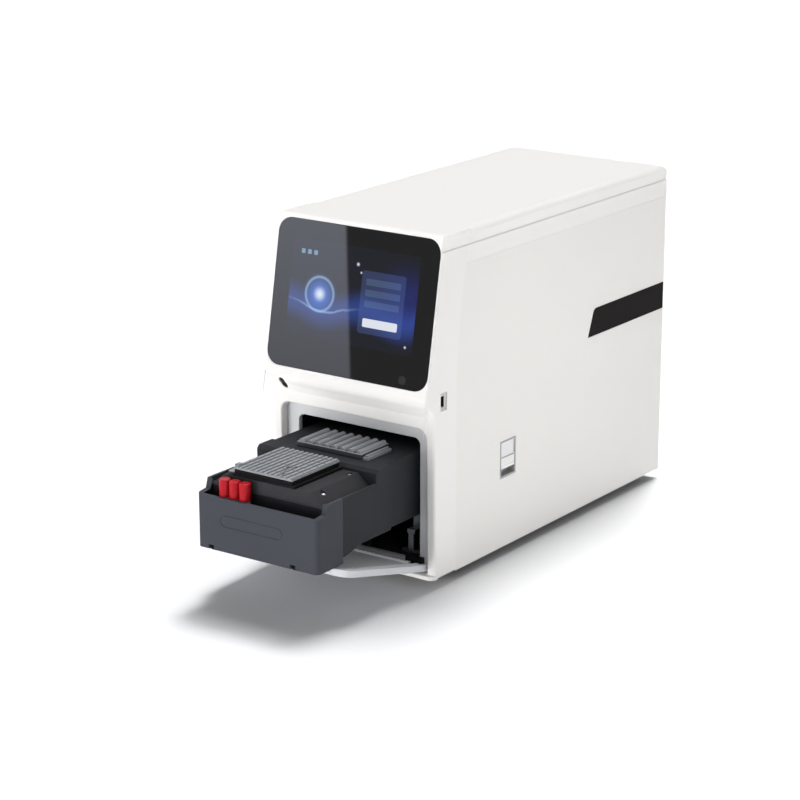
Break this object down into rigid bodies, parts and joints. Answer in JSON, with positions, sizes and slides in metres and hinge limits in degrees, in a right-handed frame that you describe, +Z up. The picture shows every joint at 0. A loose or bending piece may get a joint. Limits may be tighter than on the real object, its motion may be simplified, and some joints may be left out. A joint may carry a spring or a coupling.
{
  "type": "automated pcr system",
  "caption": "Bench-top sample-to-answer PCR instrument with a tilted touch screen, a fold-down bay door and a motor-driven reagent drawer run out.",
  "frame": {"origin": "centre of the whole footprint, drawer run out, on the plane of the feet", "axes": "+X to the operator's right, +Y to the rear, +Z up"},
  "size_m": [0.258, 0.777, 0.4633],
  "materials": {
    "housing_white": "fine-textured white moulded plastic",
    "cabinet_paint": "white powder coat",
    "door_grey": "satin light grey",
    "drawer_charcoal": "fine-textured charcoal",
    "black_plastic": "matte black",
    "label_black": "satin black film",
    "screen_glass": "polished cover glass, black behind",
    "display_panel": "lit display panel",
    "tray_grey": "satin grey moulded tray",
    "tube_clear": "clear moulded plastic",
    "cap_red": "satin red moulded plastic",
    "steel": "ground steel",
    "zinc_steel": "zinc-plated sheet",
    "aluminium": "satin anodised",
    "circuit_green": "green solder mask",
    "foot_rubber": "matte black rubber"
  },
  "bodies": {
    "cabinet": {"front_fascia": "housing_white", "usb_port": "black_plastic", "screen_glass": "screen_glass", "display_module": "display_panel", "top_cover": "housing_white", "left_side_panel": "cabinet_paint", "right_side_panel": "cabinet_paint", "rear_panel": "cabinet_paint", "base_plate": "zinc_steel", "side_label_band": "label_black", "foot_front_left": "foot_rubber", "foot_front_right": "foot_rubber", "foot_rear_left": "foot_rubber", "foot_rear_right": "foot_rubber", "latch_frame": "housing_white", "latch_pin": "steel", "door_hinge_pin": "steel", "door_hinge_block_left": "black_plastic", "door_hinge_block_right": "black_plastic", "bay_liner": "black_plastic", "rail_left": "steel", "rail_right": "steel", "screw_bearing": "aluminium", "drawer_motor": "black_plastic", "equipment_shelf": "zinc_steel", "lift_frame": "aluminium", "lift_motor": "black_plastic", "heat_sink": "aluminium", "thermal_block": "aluminium", "optics_module": "black_plastic", "main_board": "circuit_green", "power_supply": "aluminium", "fan_frame": "black_plastic", "power_inlet": "black_plastic", "rear_ports": "black_plastic"},
    "drawer": {"drawer_front": "drawer_charcoal", "drawer_body": "drawer_charcoal", "drawer_deck": "drawer_charcoal", "reagent_cartridge": "tray_grey", "strip_rack": "tray_grey", "side_strip": "tray_grey", "sample_tube_1": "tube_clear", "sample_tube_2": "tube_clear", "sample_tube_3": "tube_clear", "tube_cap_1": "cap_red", "tube_cap_2": "cap_red", "tube_cap_3": "cap_red", "carriage_left": "steel", "carriage_right": "steel", "screw_nut": "black_plastic"},
    "bay_door": {"door_panel": "door_grey", "door_liner": "door_grey"},
    "left_wheel": {"guide_wheel_left": "black_plastic"},
    "right_wheel": {"guide_wheel_right": "black_plastic"},
    "screw": {"drive_screw": "steel"},
    "paddle": {"latch_paddle": "housing_white"},
    "head": {"rod_head": "black_plastic"},
    "head_screw": {"lift_screw": "steel"},
    "fan": {"fan_rotor": "black_plastic"},
    "rocker": {"power_switch": "black_plastic"}
  },
  "joints": [
    {"name": "drawer_slide", "type": "slide", "parent": "cabinet", "child": "drawer", "axis": [0, 1, 0], "range_m": [0, 0.213]},
    {"name": "drive_screw_spin", "type": "hinge", "parent": "cabinet", "child": "screw", "pos_m": [0, 0, 0.0553], "axis": [0, 1, 0], "continuous": true},
    {"name": "door_hinge", "type": "hinge", "parent": "cabinet", "child": "bay_door", "pos_m": [0, -0.1795, 0.0253], "axis": [1, 0, 0], "range_deg": [0, 14], "stiffness_Nm_per_rad": 0.35, "springref_deg": -76.2},
    {"name": "left_wheel_spin", "type": "hinge", "parent": "drawer", "child": "left_wheel", "pos_m": [-0.073, -0.3805, 0.0758], "axis": [1, 0, 0], "continuous": true},
    {"name": "right_wheel_spin", "type": "hinge", "parent": "drawer", "child": "right_wheel", "pos_m": [0.056, -0.3805, 0.0758], "axis": [1, 0, 0], "continuous": true},
    {"name": "latch_hinge", "type": "hinge", "parent": "cabinet", "child": "paddle", "pos_m": [0.1255, -0.0155, 0.1348], "axis": [0, -1, 0], "range_deg": [0, 30], "stiffness_Nm_per_rad": 0.02, "springref_deg": -17.19},
    {"name": "head_lift", "type": "slide", "parent": "cabinet", "child": "head", "axis": [0, 0, -1], "range_m": [0, 0.06]},
    {"name": "lift_screw_spin", "type": "hinge", "parent": "cabinet", "child": "head_screw", "pos_m": [0, 0.0468, 0.3], "axis": [0, 0, 1], "continuous": true},
    {"name": "fan_spin", "type": "hinge", "parent": "cabinet", "child": "fan", "pos_m": [-0.05, 0.37, 0.3133], "axis": [0, 1, 0], "continuous": true},
    {"name": "power_rocker", "type": "hinge", "parent": "cabinet", "child": "rocker", "pos_m": [0.0908, 0.3825, 0.1233], "axis": [1, 0, 0], "range_deg": [0, 14]}
  ],
  "couplings": [
    {"joint": "drive_screw_spin", "follows": "drawer_slide", "rad_per_m": -418.88},
    {"joint": "lift_screw_spin", "follows": "head_lift", "rad_per_m": 785.4}
  ]
}
